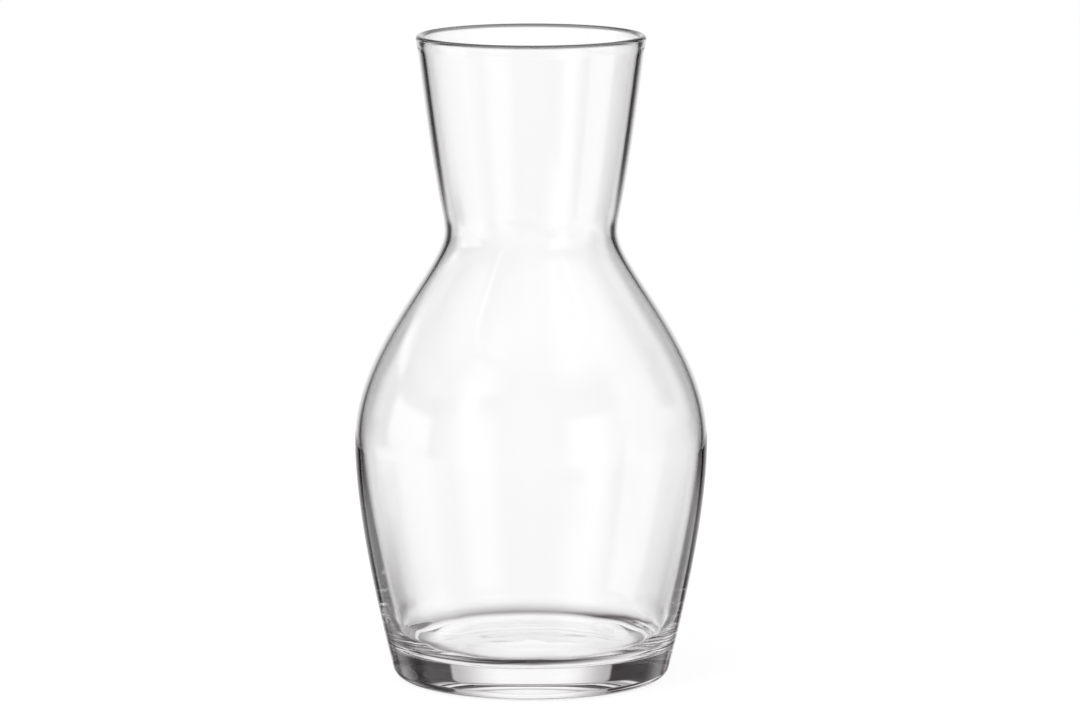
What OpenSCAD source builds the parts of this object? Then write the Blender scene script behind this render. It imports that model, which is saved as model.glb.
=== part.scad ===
// Clear glass carafe: a round belly drawn in to a waist, and a neck that opens out again to a
// plain fire-polished rim. It is blown in one piece, so it is one turned section, revolved once.
// The origin is the middle of the foot on the table, with +Z up through the rim.

/* [Outside] */
// Overall height, from the table to the top of the rim
height = 206; // [185:1:240]
// Outside diameter at the fullest part of the belly
belly_d = 112.5; // [100:0.5:130]
// Height of the fullest part of the belly above the table
belly_z = 76.5; // [60:0.5:88]
// Outside diameter at the waist, the narrowest part of the neck
waist_d = 55; // [44:0.5:66]
// Height of the waist above the table
waist_z = 143.5; // [132:0.5:154]
// Outside diameter over the rim
rim_d = 73; // [60:0.5:90]
// Outward lean of the neck where it meets the rim, from upright
rim_lean = 7; // [0:0.5:15]

/* [Foot] */
// Outside diameter of the ring that stands on the table
foot_d = 81; // [70:0.5:90]
// Width of that flat standing ring
land_w = 3.4; // [1.2:0.1:6]
// Radius of the heel, where the foot turns up into the side
heel_r = 4; // [2:0.1:7]
// Outward lean of the side just above the heel, from upright
heel_lean = 14; // [6:0.5:22]
// Height of the hollow pushed up into the underside
punt_h = 2.8; // [0.6:0.1:4.5]

/* [Glass] */
// Thickness of the blown wall from the waist up to the rim
neck_wall = 2.2; // [1.4:0.1:3.2]
// Thickness of the wall at the fullest part of the belly
belly_wall = 1.8; // [1.2:0.1:3.2]
// Thickness of the wall low down, where it passes into the corner of the base
heel_wall = 4.4; // [3:0.1:5.4]
// Height at which that corner starts, above the table
corner_z = 22.5; // [18:0.5:30]
// Height of the inside floor above the table, at the edge of its level part
floor_z = 10.3; // [7:0.1:14]
// Diameter of the level part of the inside floor
floor_d = 62; // [50:0.5:70]
// Rise of the floor from that edge to the middle
floor_crown = 0.3; // [0:0.1:1.5]
// Thickness of the fire-polished bead at the rim
lip_t = 2.6; // [2:0.1:4.2]
// Height over which the neck swells into that bead
lip_h = 5; // [3:0.1:8]

/* [Curves] */
// Share of the rise from heel to belly over which the side runs on at the heel's lean
heel_pull = 0.25; // [0.1:0.01:0.5]
// Share of that rise over which the belly stays near its full width
belly_pull_down = 0.32; // [0.15:0.01:0.5]
// Share of the rise from belly to waist over which the belly stays near its full width
belly_pull_up = 0.45; // [0.25:0.01:0.6]
// Share of that rise over which the waist stays near its least width
waist_pull_down = 0.16; // [0.08:0.01:0.4]
// Share of the neck's rise over which the waist stays near its least width
waist_pull_up = 0.11; // [0.05:0.01:0.4]
// Share of the neck's rise over which the neck keeps the lean of the rim
neck_pull = 0.92; // [0.4:0.01:0.95]
// Share of the fall from the corner's top to the floor over which the inside follows the wall
gather_pull = 0.7; // [0.3:0.01:0.85]
// Share of the way from the level floor to the wall over which the inside stays level
corner_pull = 0.75; // [0.3:0.01:0.85]

/* [Hidden] */

glass_colour = [0.86, 0.91, 0.91, 0.35];

// Steps along each curve of the section, and across each small round
curve_steps = 22;
round_steps = 10;
// Smoothness of the revolve
turn_steps = 180;

// Radii taken from the diameters
belly_r = belly_d / 2;
waist_r = waist_d / 2;
rim_r = rim_d / 2;
foot_r = foot_d / 2;
punt_r = foot_r - land_w;
floor_r = floor_d / 2;
lip_r = lip_t / 2;

// Share of a short S-shaped stretch that each end keeps its own direction
soft = 0.4;
// Share of the wall's inside over which its slope at the corner is taken
slope_reach = 0.001;

// Direction that leans out from upright by an angle, and the two normals of a direction: the
// walk goes up the outside of the section, so the axis lies to the left and the air to the right
function leaning(angle) = [sin(angle), cos(angle)];
function left_of(v) = [-v[1], v[0]] / norm(v);
function right_of(v) = [v[1], -v[0]] / norm(v);

// A cubic curve through four pull points, its direction, and the place where it reaches a height
function on_curve(p, t) =
    pow(1 - t, 3) * p[0] + 3 * pow(1 - t, 2) * t * p[1] + 3 * (1 - t) * t * t * p[2] + pow(t, 3) * p[3];
function along_curve(p, t) =
    pow(1 - t, 2) * (p[1] - p[0]) + 2 * (1 - t) * t * (p[2] - p[1]) + t * t * (p[3] - p[2]);
function reach(p, z, low = 0, high = 1, halvings = 24) =
    let (mid = (low + high) / 2)
    halvings == 0 ? mid
    : on_curve(p, mid)[1] < z ? reach(p, z, mid, high, halvings - 1)
    : reach(p, z, low, mid, halvings - 1);

// Points along a curve between two places on it, shifted inwards by the wall's thickness where
// one is given at each of the two
function traced(p, steps, from = 0, to = 1, inset_from = 0, inset_to = 0) =
    [for (i = [0 : steps])
        let (share = i / steps)
        let (t = from + (to - from) * share)
        on_curve(p, t) + (inset_from + (inset_to - inset_from) * share) * left_of(along_curve(p, t))];
function rounded(centre, r, from, to, steps) =
    [for (i = [0 : steps])
        let (a = from + (to - from) * i / steps)
        centre + r * [cos(a), sin(a)]];
function backwards(list) = [for (i = [len(list) - 1 : -1 : 0]) list[i]];
// A stretch without its first point, which is the last one of the stretch before
function onwards(list) = [for (i = [1 : len(list) - 1]) list[i]];

// Underside: the hollow runs down from the axis and lands level on the standing ring
punt_curve = [
    [0, punt_h],
    [punt_r * soft, punt_h],
    [punt_r * (1 - soft), 0],
    [punt_r, 0]];

// Heel: the round that turns the standing ring up into the side
heel_centre = [foot_r, heel_r];
heel_top = heel_centre + heel_r * right_of(leaning(heel_lean));

// Outside, in three curves that meet upright at the belly and at the waist
lower_rise = belly_z - heel_top[1];
lower_curve = [
    heel_top,
    heel_top + heel_pull * lower_rise * leaning(heel_lean),
    [belly_r, belly_z - belly_pull_down * lower_rise],
    [belly_r, belly_z]];

upper_rise = waist_z - belly_z;
shoulder_curve = [
    [belly_r, belly_z],
    [belly_r, belly_z + belly_pull_up * upper_rise],
    [waist_r, waist_z - waist_pull_down * upper_rise],
    [waist_r, waist_z]];

// Rim: a round bead whose middle lies on the middle line of the neck's wall
lip_centre = [rim_r - lip_r, height - lip_r];
lip_start = lip_centre - (lip_h - lip_r) / cos(rim_lean) * leaning(rim_lean);
neck_end = lip_start + neck_wall / 2 * right_of(leaning(rim_lean));
lip_out = lip_centre + lip_r * right_of(leaning(rim_lean));
lip_in = lip_centre + lip_r * left_of(leaning(rim_lean));

neck_rise = neck_end[1] - waist_z;
neck_curve = [
    [waist_r, waist_z],
    [waist_r, waist_z + waist_pull_up * neck_rise],
    neck_end - neck_pull * neck_rise * leaning(rim_lean),
    neck_end];

// The short swell from the neck's wall to the bead, on the outside and on the inside
function swell(foot, head) =
    let (step = soft * (lip_h - lip_r) * leaning(rim_lean))
    [foot, foot + step, head - step, head];
swell_out = swell(neck_end, lip_out);
swell_in = swell(neck_end + neck_wall * left_of(leaning(rim_lean)), lip_in);

// Inside of the base: a softly rounded corner that takes over the slope of the wall's inside,
// which runs between the heel's thickness and the belly's, and lands level on the floor
corner_at = reach(lower_curve, corner_z);
function wall_inside(share) =
    let (t = corner_at + (1 - corner_at) * share)
    on_curve(lower_curve, t)
        + (heel_wall + (belly_wall - heel_wall) * share) * left_of(along_curve(lower_curve, t));
corner_top = wall_inside(0);
wall_slope = wall_inside(slope_reach) - corner_top;
corner_curve = [
    corner_top,
    corner_top - gather_pull * (corner_top[1] - floor_z) * wall_slope / norm(wall_slope),
    [floor_r + corner_pull * (corner_top[0] - floor_r), floor_z],
    [floor_r, floor_z]];
floor_curve = [
    [floor_r, floor_z],
    [floor_r * (1 - soft), floor_z],
    [floor_r * soft, floor_z + floor_crown],
    [0, floor_z + floor_crown]];

function outside() = concat(
    traced(punt_curve, curve_steps),
    rounded(heel_centre, heel_r, -90, -heel_lean, round_steps),
    onwards(traced(lower_curve, curve_steps)),
    onwards(traced(shoulder_curve, curve_steps)),
    onwards(traced(neck_curve, curve_steps)),
    onwards(traced(swell_out, round_steps)));
function bead() = onwards(rounded(lip_centre, lip_r, -rim_lean, 180 - rim_lean, round_steps));
function inside() = concat(
    onwards(backwards(traced(swell_in, round_steps))),
    onwards(backwards(traced(neck_curve, curve_steps, inset_from = neck_wall, inset_to = neck_wall))),
    onwards(backwards(traced(shoulder_curve, curve_steps, inset_from = belly_wall, inset_to = neck_wall))),
    onwards(backwards(traced(lower_curve, curve_steps, corner_at, 1, heel_wall, belly_wall))),
    onwards(traced(corner_curve, curve_steps)),
    onwards(traced(floor_curve, curve_steps)));

module carafe() {
    color(glass_colour)
        rotate_extrude($fn = turn_steps)
            polygon(concat(outside(), bead(), inside()));
}

carafe();
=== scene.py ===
"""A clear blown-glass carafe on a white sweep. Only the glass sees the studio round it: white straight
behind, dark flags out to the sides, a dim room behind the camera and a dim empty side, so that the
walls and the thick base draw themselves in grey and black."""

import math

import bmesh
import bpy
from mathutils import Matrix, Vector


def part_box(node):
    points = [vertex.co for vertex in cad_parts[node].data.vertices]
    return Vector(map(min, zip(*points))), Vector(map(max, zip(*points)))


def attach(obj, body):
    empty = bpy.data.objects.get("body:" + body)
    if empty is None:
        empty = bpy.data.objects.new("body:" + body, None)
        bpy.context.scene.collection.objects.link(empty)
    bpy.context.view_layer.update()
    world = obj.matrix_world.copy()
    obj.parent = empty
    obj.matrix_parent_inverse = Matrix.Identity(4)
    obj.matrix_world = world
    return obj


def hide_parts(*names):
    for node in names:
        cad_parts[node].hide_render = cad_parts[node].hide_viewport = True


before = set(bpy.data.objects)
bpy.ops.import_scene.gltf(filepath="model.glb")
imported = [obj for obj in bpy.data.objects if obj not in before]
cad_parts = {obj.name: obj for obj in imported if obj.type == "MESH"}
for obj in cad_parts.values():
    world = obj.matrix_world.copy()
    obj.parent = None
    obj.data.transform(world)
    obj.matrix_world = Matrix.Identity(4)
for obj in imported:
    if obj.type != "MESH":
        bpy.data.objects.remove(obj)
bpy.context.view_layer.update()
_, upper_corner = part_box("carafe")

# The glass, in metres. Height and belly come from the carafe's part in model.glb; the rest are the
# maker's sizes.
HEIGHT = upper_corner.z
BELLY_R = upper_corner.x
BELLY_Z = 0.0765
WAIST_R = 0.0275
WAIST_Z = 0.1435
RIM_R = 0.0365
RIM_LEAN = math.radians(7)
FOOT_R = 0.0405
LAND_W = 0.0034
HEEL_R = 0.004
HEEL_LEAN = math.radians(14)
PUNT_H = 0.0028
NECK_WALL = 0.0022
BELLY_WALL = 0.0018
HEEL_WALL = 0.0044
CORNER_Z = 0.0225
FLOOR_Z = 0.0103
FLOOR_R = 0.031
FLOOR_CROWN = 0.0003
LIP_R = 0.0013
LIP_H = 0.005

# Shares of each rise or run that a curve keeps the direction it starts or ends with
HEEL_PULL, BELLY_PULL_DOWN = 0.25, 0.32
BELLY_PULL_UP, WAIST_PULL_DOWN = 0.45, 0.16
WAIST_PULL_UP, NECK_PULL = 0.11, 0.92
GATHER_PULL, CORNER_PULL = 0.7, 0.75
SOFT = 0.4

# The waves inside, where the glass gathers into the base: their height from trough to crest, their
# width, how many times closer they lie up and down than round, and how far up they reach
WAVE_HEIGHT = 0.00045
WAVE_SIZE = 0.015
WAVE_SQUEEZE = 2.5
WAVE_TOP = 0.031
# How fine the noise is that they are drawn from, and where in it
WAVE_DETAIL = 1.5
WAVE_SEED = 3.0

# Points along each curve of the section, and facets round the turn
CURVE_STEPS = 30
ROUND_STEPS = 10
TURN_STEPS = 288
# Halvings in the search for a height on a curve, and the distance below which two points are one
HALVINGS = 24
SAME_PLACE = 1e-6


# The section, as radius and height, walked up the outside and down the inside

UP = Vector((0, 1))
HEEL = Vector((FOOT_R, HEEL_R))
BELLY = Vector((BELLY_R, BELLY_Z))
WAIST = Vector((WAIST_R, WAIST_Z))
BEAD = Vector((RIM_R - LIP_R, HEIGHT - LIP_R))


def leaning(angle):
    """Direction that leans outwards from upright."""
    return Vector((math.sin(angle), math.cos(angle)))


def inward(v):
    """Towards the axis, for a walk up the outside."""
    return Vector((-v.y, v.x)).normalized()


def on_curve(p, t):
    """The point at a share of the way along a curve with four pull points."""
    return (1 - t) ** 3 * p[0] + 3 * (1 - t) ** 2 * t * p[1] + 3 * (1 - t) * t * t * p[2] + t ** 3 * p[3]


def along_curve(p, t):
    """The direction of that curve there."""
    return (1 - t) ** 2 * (p[1] - p[0]) + 2 * (1 - t) * t * (p[2] - p[1]) + t * t * (p[3] - p[2])


def reach(p, z):
    """Where along a rising curve it comes to a height."""
    below, above = 0.0, 1.0
    for _ in range(HALVINGS):
        middle = (below + above) / 2
        if on_curve(p, middle).y < z:
            below = middle
        else:
            above = middle
    return below


def traced(p, start=0.0, end=1.0, steps=CURVE_STEPS, inset=(0.0, 0.0)):
    """Points along a curve, the first left out, moved inwards by the wall's thickness, which runs
    evenly between the two given for the stretch's ends."""
    points = []
    for i in range(1, steps + 1):
        t = start + (end - start) * i / steps
        thick = inset[0] + (inset[1] - inset[0]) * i / steps
        points.append(on_curve(p, t) + thick * inward(along_curve(p, t)))
    return points


def rounded(centre, r, start, end):
    """Points along an arc, the first left out."""
    where = [start + (end - start) * i / ROUND_STEPS for i in range(1, ROUND_STEPS + 1)]
    return [centre + r * Vector((math.cos(a), math.sin(a))) for a in where]


def soft_step(a, b):
    """A curve between two heights that is level at both ends."""
    run = Vector((SOFT * (b.x - a.x), 0))
    return [a, a + run, b - run, b]


def lower_side():
    """The outside from the top of the heel's round to the belly."""
    heel_top = HEEL - HEEL_R * inward(leaning(HEEL_LEAN))
    rise = BELLY_Z - heel_top.y
    heel_end = heel_top + HEEL_PULL * rise * leaning(HEEL_LEAN)
    return [heel_top, heel_end, BELLY - BELLY_PULL_DOWN * rise * UP, BELLY]


def shoulder_side():
    """The outside from the belly to the waist."""
    rise = WAIST_Z - BELLY_Z
    return [BELLY, BELLY + BELLY_PULL_UP * rise * UP, WAIST - WAIST_PULL_DOWN * rise * UP, WAIST]


def neck_side():
    """The outside from the waist to where the neck starts to swell into the rim's bead."""
    lean = leaning(RIM_LEAN)
    bead_foot = BEAD - (LIP_H - LIP_R) / math.cos(RIM_LEAN) * lean
    top = bead_foot - NECK_WALL / 2 * inward(lean)
    rise = top.y - WAIST_Z
    return [WAIST, WAIST + WAIST_PULL_UP * rise * UP, top - NECK_PULL * rise * lean, top]


def rim_swell(foot, head):
    """One side of the swell, from the neck's wall up to the bead."""
    step = SOFT * (LIP_H - LIP_R) * leaning(RIM_LEAN)
    return [foot, foot + step, head - step, head]


def corner_inside(wall_in, floor_edge):
    """The soft corner that takes over the slope of the wall's inside and lands level on the floor."""
    top = wall_in[-1]
    down = (top - wall_in[-2]).normalized()
    wall_end = top + GATHER_PULL * (top.y - FLOOR_Z) * down
    floor_start = Vector((FLOOR_R + CORNER_PULL * (top.x - FLOOR_R), FLOOR_Z))
    return [top, wall_end, floor_start, floor_edge]


def outside_points():
    """From the underside's middle over the standing ring and up the side to the bead."""
    middle, ring_in = Vector((0, PUNT_H)), Vector((FOOT_R - LAND_W, 0))
    neck = neck_side()
    swell = rim_swell(neck[-1], BEAD - LIP_R * inward(leaning(RIM_LEAN)))
    return ([middle] + traced(soft_step(middle, ring_in)) + [HEEL - HEEL_R * UP]
            + rounded(HEEL, HEEL_R, -math.pi / 2, -HEEL_LEAN)
            + traced(lower_side()) + traced(shoulder_side()) + traced(neck)
            + traced(swell, steps=ROUND_STEPS))


def inside_points():
    """Over the bead, down the inside and in to the middle of the floor."""
    across = inward(leaning(RIM_LEAN))
    neck, shoulder, lower = neck_side(), shoulder_side(), lower_side()
    swell = rim_swell(neck[-1] + NECK_WALL * across, BEAD + LIP_R * across)
    wall_in = traced(lower, 1, reach(lower, CORNER_Z), inset=(BELLY_WALL, HEEL_WALL))
    floor_edge, middle = Vector((FLOOR_R, FLOOR_Z)), Vector((0, FLOOR_Z + FLOOR_CROWN))
    return (rounded(BEAD, LIP_R, -RIM_LEAN, math.pi - RIM_LEAN)
            + traced(swell[::-1], steps=ROUND_STEPS)
            + traced(neck, 1, 0, inset=(NECK_WALL, NECK_WALL))
            + traced(shoulder, 1, 0, inset=(NECK_WALL, BELLY_WALL)) + wall_in
            + traced(corner_inside(wall_in, floor_edge)) + traced(soft_step(floor_edge, middle)))


def section_object():
    """The section as a line of vertices, each marked with 1 on the inside and 0 on the outside."""
    outside, inside = outside_points(), inside_points()
    points = outside + inside
    mesh = bpy.data.meshes.new("glass_section")
    edges = [(i, i + 1) for i in range(len(points) - 1)]
    mesh.from_pydata([(p.x, 0, p.y) for p in points], edges, [])
    mark = mesh.attributes.new("inside", "FLOAT", "POINT")
    mark.data.foreach_set("value", [0.0] * len(outside) + [1.0] * len(inside))
    line = bpy.data.objects.new("carafe_glass", mesh)
    bpy.context.scene.collection.objects.link(line)
    return line


# Short forms for building node trees

class Net:
    """The nodes of one tree, with short forms for the steps that repeat."""

    def __init__(self, tree):
        self.nodes = tree.nodes
        self.link = tree.links.new

    def add(self, kind, **settings):
        """A new node with its settings."""
        node = self.nodes.new(kind)
        for name, value in settings.items():
            setattr(node, name, value)
        return node

    def feed(self, socket, value):
        """Sets an input to a fixed value, or links it to the socket that its value comes from."""
        if isinstance(value, (int, float, tuple)):
            socket.default_value = value
        else:
            self.link(value, socket)

    def step(self, kind, operation, values):
        """One step of arithmetic on sockets and fixed values, as its outputs by name."""
        node = self.add(kind, operation=operation)
        for socket, value in zip(node.inputs, values):
            self.feed(socket, value)
        return node.outputs

    def math(self, operation, *values):
        """One step on numbers, as the socket with its result."""
        return self.step("ShaderNodeMath", operation, values)["Value"]

    def vector(self, operation, *values):
        """One step on vectors, as its outputs by name."""
        return self.step("ShaderNodeVectorMath", operation, values)

    def times(self, a, b):
        """The product of two numbers."""
        return self.math("MULTIPLY", a, b)

    def parts(self, vector):
        """The X, Y and Z of a vector, by name."""
        node = self.add("ShaderNodeSeparateXYZ")
        self.link(vector, node.inputs[0])
        return node.outputs

    def mixed(self, share, a, b):
        """From a to b as the share goes from 0 to 1."""
        node = self.add("ShaderNodeMix")
        for name, value in (("Factor", share), ("A", a), ("B", b)):
            self.feed(node.inputs[name], value)
        return node.outputs["Result"]

    def ramp(self, value, low, high, start=0.0, end=1.0):
        """A smooth change of level while a value goes from low to high."""
        node = self.add("ShaderNodeMapRange", interpolation_type="SMOOTHSTEP")
        for name, given in (("Value", value), ("From Min", low), ("From Max", high),
                            ("To Min", start), ("To Max", end)):
            self.feed(node.inputs[name], given)
        return node.outputs[0]

    def levels(self, value, stops):
        """A curve of levels over a value that starts at the first stop and ends at the last."""
        first, last = stops[0][0], stops[-1][0]
        node = self.add("ShaderNodeValToRGB")
        elements = node.color_ramp.elements
        for place, _ in stops[1:-1]:
            elements.new((place - first) / (last - first))
        for element, (_, level) in zip(elements, stops):
            element.color = (level, level, level, 1)
        share = self.math("DIVIDE", self.math("SUBTRACT", value, first), last - first)
        self.link(share, node.inputs[0])
        return node.outputs[0]


# The turning: a tree that revolves the section and lets the inside run a little uneven

def inside_mark(net):
    """1 on the inside and 0 on the outside, as the section's vertices carry it."""
    mark = net.add("GeometryNodeInputNamedAttribute", data_type="FLOAT")
    mark.inputs["Name"].default_value = "inside"
    return mark.outputs[0]


def on_section(net, section, value, row, kind):
    """What the section has at the point that a row of the grid stands for."""
    sample = net.add("GeometryNodeSampleIndex", data_type=kind, domain="POINT")
    for name, given in (("Geometry", section), ("Value", value), ("Index", row)):
        net.link(given, sample.inputs[name])
    return sample.outputs[0]


def revolved(net, section, turn_steps):
    """A grid with a row for each point of the section and a column for each step of the turn, laid
    round the axis and closed. It keeps the mark of the inside."""
    points = net.add("GeometryNodeAttributeDomainSize", component="MESH")
    net.link(section, points.inputs["Geometry"])
    columns = net.math("ADD", turn_steps, 1)
    grid = net.add("GeometryNodeMeshGrid")
    net.link(points.outputs["Point Count"], grid.inputs["Vertices X"])
    net.link(columns, grid.inputs["Vertices Y"])

    index = net.add("GeometryNodeInputIndex").outputs[0]
    row = net.math("FLOOR", net.math("DIVIDE", index, columns))
    share = net.math("DIVIDE", net.math("MODULO", index, columns), turn_steps)
    place = net.add("GeometryNodeInputPosition").outputs[0]
    spun = net.add("ShaderNodeVectorRotate", rotation_type="Z_AXIS")
    net.link(on_section(net, section, place, row, "FLOAT_VECTOR"), spun.inputs["Vector"])
    net.link(net.times(share, 2 * math.pi), spun.inputs["Angle"])

    keep = net.add("GeometryNodeStoreNamedAttribute", data_type="FLOAT", domain="POINT")
    keep.inputs["Name"].default_value = "inside"
    net.link(grid.outputs["Mesh"], keep.inputs["Geometry"])
    net.link(on_section(net, section, inside_mark(net), row, "FLOAT"), keep.inputs["Value"])
    shape = net.add("GeometryNodeSetPosition")
    net.link(keep.outputs[0], shape.inputs["Geometry"])
    net.link(spun.outputs[0], shape.inputs["Position"])
    closed = net.add("GeometryNodeMergeByDistance")
    closed.inputs["Distance"].default_value = SAME_PLACE
    net.link(shape.outputs[0], closed.inputs["Geometry"])
    return closed.outputs[0]


def wave_pattern(net, place, size, squeeze, seed):
    """Noise from 0 to 1 in rings that the squeeze makes closer up and down than they are round."""
    rings = net.add("ShaderNodeCombineXYZ")
    for name, value in (("X", 1), ("Y", 1), ("Z", squeeze)):
        net.feed(rings.inputs[name], value)
    noise = net.add("ShaderNodeTexNoise", noise_dimensions="4D")
    noise.inputs["Detail"].default_value = WAVE_DETAIL
    net.link(net.vector("MULTIPLY", place, rings.outputs[0])["Vector"], noise.inputs["Vector"])
    net.link(seed, noise.inputs["W"])
    net.link(net.math("DIVIDE", 1, size), noise.inputs["Scale"])
    return noise.outputs[0]


def wandering(net, shape, given):
    """Moves the inside in and out along its normal where the glass gathers into the base."""
    place = net.add("GeometryNodeInputPosition").outputs[0]
    noise = wave_pattern(net, place, given["Wave size"], given["Wave squeeze"], given["Seed"])
    # Half of the noise goes to each side
    wave = net.times(net.math("SUBTRACT", noise, 0.5), given["Wave height"])
    low_down = net.ramp(net.parts(place)["Z"], FLOOR_Z, given["Wave top"], 1, 0)
    push = net.add("ShaderNodeVectorMath", operation="SCALE")
    net.link(net.add("GeometryNodeInputNormal").outputs[0], push.inputs[0])
    net.link(net.times(wave, net.times(inside_mark(net), low_down)), push.inputs["Scale"])
    waved = net.add("GeometryNodeSetPosition")
    net.link(shape, waved.inputs["Geometry"])
    net.link(push.outputs[0], waved.inputs["Offset"])
    return waved.outputs[0]


def turning_tree(material):
    """The tree that makes the glass from its section, with named inputs for its sizes."""
    tree = bpy.data.node_groups.new("turned_glass", "GeometryNodeTree")
    face = tree.interface
    face.new_socket("Section", in_out="INPUT", socket_type="NodeSocketGeometry")
    for name, kind, value in (
            ("Turn steps", "NodeSocketInt", TURN_STEPS),
            ("Wave height", "NodeSocketFloat", 0.0),
            ("Wave size", "NodeSocketFloat", WAVE_SIZE),
            ("Wave squeeze", "NodeSocketFloat", WAVE_SQUEEZE),
            ("Wave top", "NodeSocketFloat", WAVE_TOP),
            ("Seed", "NodeSocketFloat", WAVE_SEED)):
        face.new_socket(name, in_out="INPUT", socket_type=kind).default_value = value
    face.new_socket("Glass", in_out="OUTPUT", socket_type="NodeSocketGeometry")

    net = Net(tree)
    given, made = net.add("NodeGroupInput").outputs, net.add("NodeGroupOutput")
    shape = wandering(net, revolved(net, given["Section"], given["Turn steps"]), given)
    smooth = net.add("GeometryNodeSetShadeSmooth")
    net.link(shape, smooth.inputs[0])
    solid = net.add("GeometryNodeRealizeInstances")
    net.link(smooth.outputs[0], solid.inputs[0])
    finish = net.add("GeometryNodeSetMaterial")
    finish.inputs["Material"].default_value = material
    net.link(solid.outputs[0], finish.inputs["Geometry"])
    net.link(finish.outputs[0], made.inputs[0])
    return tree


def turned(line, tree, sizes):
    """Runs the tree on the section and leaves a plain closed mesh that faces outwards."""
    turning = line.modifiers.new("turning", "NODES")
    turning.node_group = tree
    sockets = [s for s in tree.interface.items_tree if s.item_type == "SOCKET"]
    identifiers = {s.name: s.identifier for s in sockets if s.in_out == "INPUT"}
    for name, value in sizes.items():
        turning[identifiers[name]] = value
    bpy.context.view_layer.update()
    evaluated = line.evaluated_get(bpy.context.evaluated_depsgraph_get())
    mesh = bpy.data.meshes.new_from_object(evaluated)
    line.modifiers.remove(turning)
    line.data = mesh
    work = bmesh.new()
    work.from_mesh(mesh)
    bmesh.ops.remove_doubles(work, verts=work.verts, dist=SAME_PLACE)
    bmesh.ops.recalc_face_normals(work, faces=work.faces)
    work.to_mesh(mesh)
    work.free()
    return line


# Materials

# How strongly the glass bends light, and the trace of light that it takes up
GLASS_IOR = 1.52
GLASS_TINT = (0.80, 0.76, 0.78, 1)
GLASS_DENSITY = 3
# Painted shade at the top of the rim, where the glass bends the light the most: the colour it darkens
# the glass to, and how far down it runs
RIM_PAINTED_SHADE = 0.1
RIM_PAINTED_SHADE_H = 0.0014
# How far the underside scatters light, where the foot was set down hot, how high up that goes, and
# over what height it ends
UNDER_ROUGHNESS = 0.07
UNDER_H = 0.0034
UNDER_END = 0.0004
# The sweep's own grey, and the light it adds to that for the camera, which together come to white
SWEEP_GREY = (0.2, 0.2, 0.2, 1)
SWEEP_GLOW = 0.86


def new_material(name):
    """An empty material, its nodes and its output."""
    material = bpy.data.materials.new(name)
    material.use_nodes = True
    material.node_tree.nodes.clear()
    net = Net(material.node_tree)
    return material, net, net.add("ShaderNodeOutputMaterial")


def blown_glass():
    """Clear glass, with painted shade at the top of the rim and a little rough underneath."""
    material, net, out = new_material("clear_blown_glass")
    height = net.parts(net.add("ShaderNodeTexCoord").outputs["Object"])["Z"]
    shader = net.add("ShaderNodeBsdfPrincipled")
    shader.inputs["Transmission Weight"].default_value = 1
    shader.inputs["IOR"].default_value = GLASS_IOR
    # Painted shade: the glass's colour darkens towards the top of the rim
    shade = net.ramp(height, HEIGHT - RIM_PAINTED_SHADE_H, HEIGHT - RIM_PAINTED_SHADE_H / 2, 1, RIM_PAINTED_SHADE)
    net.link(shade, shader.inputs["Base Color"])
    rough = net.ramp(height, UNDER_H - UNDER_END, UNDER_H, UNDER_ROUGHNESS, 0)
    net.link(rough, shader.inputs["Roughness"])
    net.link(shader.outputs[0], out.inputs["Surface"])
    volume = net.add("ShaderNodeVolumeAbsorption")
    volume.inputs["Color"].default_value = GLASS_TINT
    volume.inputs["Density"].default_value = GLASS_DENSITY
    net.link(volume.outputs[0], out.inputs["Volume"])
    return material


def white_sweep():
    """White to the camera, with the carafe's soft shadow on it."""
    material, net, out = new_material("white_sweep")
    matte = net.add("ShaderNodeBsdfDiffuse")
    matte.inputs["Color"].default_value = SWEEP_GREY
    glow = net.add("ShaderNodeEmission")
    to_camera = net.add("ShaderNodeLightPath").outputs["Is Camera Ray"]
    net.link(net.times(to_camera, SWEEP_GLOW), glow.inputs["Strength"])
    both = net.add("ShaderNodeAddShader")
    net.link(matte.outputs[0], both.inputs[0])
    net.link(glow.outputs[0], both.inputs[1])
    net.link(both.outputs[0], out.inputs["Surface"])
    return material


# The studio: a white sweep to the camera, and round it a surround that only the glass sees, as in a
# bright tent with dark flags. Angles are in degrees: aside is counted from straight behind the
# carafe, as the photograph looks at it, towards the right, and height from level. Each list of
# levels is pairs of an angle and the brightness there, and runs evenly between them.

# The flags that stand on the sweep, by the angle to either side of the middle of a set: white
# straight behind, a grey shade to each side and a black flag beyond
FLAGS = ((0, 1.0), (4, 0.98), (7, 0.92), (10, 0.82), (13, 0.68), (16, 0.54), (20, 0.42), (23, 0.22),
         (26, 0.03), (30, 0.0), (36, 0.0), (40, 0.2), (44, 0.52), (50, 0.72), (60, 0.84), (80, 1.0))
# Lower down the same flags end sooner, and lower still they stand a little further out
LOW_FLAGS = ((0, 1.0), (4, 0.98), (7, 0.92), (10, 0.82), (13, 0.68), (16, 0.5), (19, 0.25),
             (21, 0.05), (24, 0.02), (27, 0.15), (30, 0.42), (34, 0.75), (37, 0.92), (40, 1.0))
FOOT_FLAGS = ((0, 1.0), (4, 0.98), (7, 0.9), (10, 0.78), (13, 0.6), (16, 0.4), (19, 0.2),
              (22, 0.04), (26, 0.0), (30, 0.03), (33, 0.2), (36, 0.55), (39, 0.9), (42, 1.0))
# The flags of the sets that stand to the sides and in front are closer together
SIDE_FLAGS = ((0, 1.0), (7, 0.87), (12, 0.4), (20, 0.1), (26, 0.1), (33, 0.6), (38, 1.0))
# Where each set stands: its aside, flags, lowest and highest angle
FLAG_SETS = (
    (0, FLAGS, -14, 5),
    (0, LOW_FLAGS, -18.5, -14),
    (0, FOOT_FLAGS, -30, -18.5),
    (135, SIDE_FLAGS, -24, -11),
    (-90, SIDE_FLAGS, -6, 5),
    (-45, SIDE_FLAGS, -90, -19))
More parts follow.
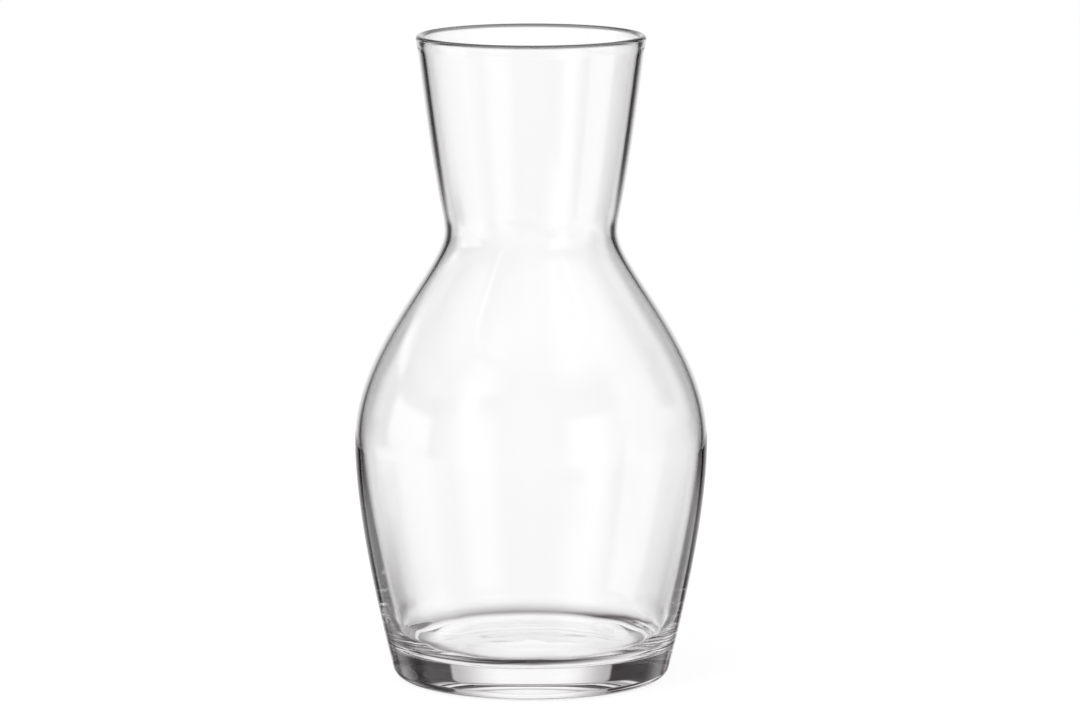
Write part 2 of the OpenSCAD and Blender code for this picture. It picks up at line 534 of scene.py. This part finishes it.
# By height: towards the foot the sweep lies in the carafe's own shade
FOOT_SHADE = ((-90, 0.04), (-82, 0.06), (-72, 0.13), (-62, 0.27), (-57, 0.35), (-50, 0.48),
              (-43, 0.65), (-36, 0.8), (-30, 0.92), (-24, 1.0))

# Higher up stand black flags with white windows between them, each with its aside, half-width,
# softness, lowest and highest angle
FLAG_BLACK = 0.02
WINDOWS = (
    (0, 24.5, 0.8, -90, 90),
    (135, 24.5, 5, -90, 23),
    (-90, 19, 3, -90, 15),
    (-45, 22, 3, 17, 34))
# The heights over which all these flags end, and the tent by height: white in the windows, a grey
# band over them and a nearly white top
FLAGS_END = (21, 27)
TENT = ((0, 1.0), (18, 1.0), (21, 0.8), (25, 0.3), (33, 0.3), (38, 0.55), (43, 0.85), (50, 0.93),
        (90, 0.95))
# How the light behind the carafe falls off to its sides, and the heights over which that ends
GLOW = ((0, 1.0), (9, 1.0), (13, 0.9), (16, 0.75), (19, 0.6), (22, 0.48), (25, 0.44), (30, 0.44),
        (36, 1.0), (90, 1.0))
GLOW_END = (18, 28)

# The dim room behind the camera: where it lies, its share by angle to either side, and its level
# by height
ROOM_ASIDE = -160
ROOM_SPAN = ((0, 1.0), (34, 1.0), (42, 0.7), (52, 0.0), (180, 0.0))
ROOM = ((-90, 0.3), (-50, 0.3), (-35, 0.2), (-25, 0.2), (-15, 0.3), (-5, 0.35), (10, 0.3),
        (25, 0.28), (40, 0.35), (55, 0.6), (90, 0.8))
# The empty side of the studio, where no sweep hangs: where it lies, how much light is left there by
# angle to either side, and the heights over which that ends
EMPTY_ASIDE = 92
EMPTY_SPAN = ((0, 0.3), (28, 0.3), (42, 1.0), (180, 1.0))
EMPTY_END = (20, 40)

# How far to each side of its angle an edge is soft, and the heights over which what stands on the
# sweep passes into what stands above it
EDGE = 2.5
LEVEL_EDGE = (-12, 3)
# The strength of it all, and what red and green are raised to, which turns the greys a trace warm
SURROUND_GAIN = 1.07
RED_POWER, GREEN_POWER = 0.98, 1.02
# The level of the plain light that falls on the sweep from all round
PLAIN_LIGHT = 0.6
# Half the sweep's side, in metres
SWEEP_HALF = 6.0
# Each lamp's name, place and width in metres, and power in watts
LAMPS = (
    ("key", (-1.2, -1.0, 1.8), 1.6, 22),
    ("fill", (1.5, -0.6, 1.4), 1.6, 12))
# How often light may turn or pass through a surface on its way
LIGHT_TURNS = 24


def degrees_from(net, aside, middle):
    """How far to either side of a direction a ray goes."""
    turn = math.radians(middle)
    along = net.vector("DOT_PRODUCT", aside, (math.sin(turn), math.cos(turn), 0))["Value"]
    return net.math("DEGREES", net.math("ARCCOSINE", along))


def between(net, angle, low, high):
    """1 between two angles, softly 0 outside them."""
    rise = net.ramp(angle, low - EDGE, low + EDGE)
    fall = net.ramp(angle, high - EDGE, high + EDGE, 1, 0)
    return net.times(rise, fall)


def sweep_and_low_flags(net, aside, angle):
    """The sweep, darker towards the foot, and the flags that stand on it."""
    level = net.levels(angle, FOOT_SHADE)
    for middle, flags, lowest, highest in FLAG_SETS:
        shade = net.levels(degrees_from(net, aside, middle), flags)
        level = net.times(level, net.mixed(between(net, angle, lowest, highest), 1.0, shade))
    return level


def tent_and_high_flags(net, aside, angle):
    """The tent, seen through the windows between the black flags and over the flags."""
    seen = 0.0
    for middle, half, soft, lowest, highest in WINDOWS:
        off = degrees_from(net, aside, middle)
        window = net.times(net.ramp(off, half - soft, half + soft, 1, 0),
                           between(net, angle, lowest, highest))
        seen = net.math("MAXIMUM", window, seen)
    seen = net.math("MAXIMUM", seen, net.ramp(angle, *FLAGS_END))
    glow = net.levels(degrees_from(net, aside, 0), GLOW)
    glow = net.mixed(net.ramp(angle, *GLOW_END), glow, 1.0)
    return net.mixed(seen, FLAG_BLACK, net.times(net.levels(angle, TENT), glow))


def surround_level(net):
    """How bright the studio is in the direction that a ray takes out of the glass."""
    way = net.add("ShaderNodeTexCoord").outputs["Generated"]
    flat = net.vector("MULTIPLY", way, (1, 1, 0))["Vector"]
    aside = net.vector("NORMALIZE", flat)["Vector"]
    angle = net.math("DEGREES", net.math("ARCSINE", net.parts(way)["Z"]))

    low, high = sweep_and_low_flags(net, aside, angle), tent_and_high_flags(net, aside, angle)
    level = net.mixed(net.ramp(angle, *LEVEL_EDGE), low, high)
    left = net.levels(degrees_from(net, aside, EMPTY_ASIDE), EMPTY_SPAN)
    level = net.times(level, net.mixed(net.ramp(angle, *EMPTY_END), left, 1.0))
    in_room = net.levels(degrees_from(net, aside, ROOM_ASIDE), ROOM_SPAN)
    level = net.mixed(in_room, level, net.levels(angle, ROOM))
    return net.times(level, SURROUND_GAIN)


def warm_grey(net, level):
    """White stays white, and the greys turn a trace warm."""
    colour = net.add("ShaderNodeCombineColor")
    net.link(net.math("POWER", level, RED_POWER), colour.inputs[0])
    net.link(net.math("POWER", level, GREEN_POWER), colour.inputs[1])
    net.link(level, colour.inputs[2])
    return colour.outputs[0]


def surround():
    """White to the camera, plain soft light on the sweep, and the whole studio to the glass."""
    world = bpy.data.worlds.new("studio_surround")
    bpy.context.scene.world = world
    world.use_nodes = True
    world.node_tree.nodes.clear()
    net = Net(world.node_tree)
    ray = net.add("ShaderNodeLightPath").outputs
    plain = net.math("MULTIPLY_ADD", ray["Is Camera Ray"], 1 - PLAIN_LIGHT, PLAIN_LIGHT)
    # Of a Mix node's inputs and outputs that bear the same name, these are the ones for colours
    mix = net.add("ShaderNodeMix", data_type="RGBA")
    net.link(net.math("MAXIMUM", ray["Is Glossy Ray"], ray["Is Transmission Ray"]), mix.inputs[0])
    net.link(plain, mix.inputs[6])
    net.link(warm_grey(net, surround_level(net)), mix.inputs[7])
    back = net.add("ShaderNodeBackground")
    net.link(mix.outputs[2], back.inputs["Color"])
    net.link(back.outputs[0], net.add("ShaderNodeOutputWorld").inputs["Surface"])


def studio_sweep():
    """The white ground that the carafe stands on, which the glass itself doesn't see."""
    s = SWEEP_HALF
    mesh = bpy.data.meshes.new("sweep")
    mesh.from_pydata([(-s, -s, 0), (s, -s, 0), (s, s, 0), (-s, s, 0)], [], [(0, 1, 2, 3)])
    mesh.materials.append(white_sweep())
    sweep = bpy.data.objects.new("sweep", mesh)
    bpy.context.scene.collection.objects.link(sweep)
    sweep.visible_transmission = sweep.visible_glossy = False


def soft_lamp(name, place, width, power):
    """A round soft lamp that looks at the middle of the carafe and makes no glint in it."""
    light = bpy.data.lights.new(name, "AREA")
    light.shape = "DISK"
    light.size, light.energy = width, power
    lamp = bpy.data.objects.new(name, light)
    bpy.context.scene.collection.objects.link(lamp)
    lamp.location = place
    to_carafe = Vector((0, 0, HEIGHT / 2)) - Vector(place)
    lamp.rotation_euler = to_carafe.to_track_quat("-Z", "Y").to_euler()
    lamp.visible_glossy = lamp.visible_transmission = False


def let_light_run_on():
    """Light turns round many times inside the thick base before it comes out."""
    paths = bpy.context.scene.cycles
    paths.max_bounces = paths.glossy_bounces = paths.transmission_bounces = LIGHT_TURNS


# The camera, fitted to the photograph's rim and foot, with its lens and sensor in millimetres

CAMERA_AWAY = 1.8227
CAMERA_UP = 0.3878
CAMERA_DIP = math.radians(8.916)
CAMERA_TURN = math.radians(0.089)
CAMERA_LENS = 193.0
CAMERA_SENSOR = 36
# The nearest and the furthest that it sees
CAMERA_CLIP = (0.05, 50)


def photo_camera():
    data = bpy.data.cameras.new("photo_camera")
    data.lens, data.sensor_width = CAMERA_LENS, CAMERA_SENSOR
    data.clip_start, data.clip_end = CAMERA_CLIP
    camera = bpy.data.objects.new("photo_camera", data)
    bpy.context.scene.collection.objects.link(camera)
    camera.location = (0, -CAMERA_AWAY, CAMERA_UP)
    camera.rotation_euler = (math.pi / 2 - CAMERA_DIP, 0, -CAMERA_TURN)
    bpy.context.scene.camera = camera


photo_camera()
glass = turned(section_object(), turning_tree(blown_glass()), {"Wave height": WAVE_HEIGHT})
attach(glass, "root")
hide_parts("carafe")

studio_sweep()
surround()
for lamp in LAMPS:
    soft_lamp(*lamp)
bpy.context.scene.view_settings.view_transform = "Standard"
let_light_run_on()
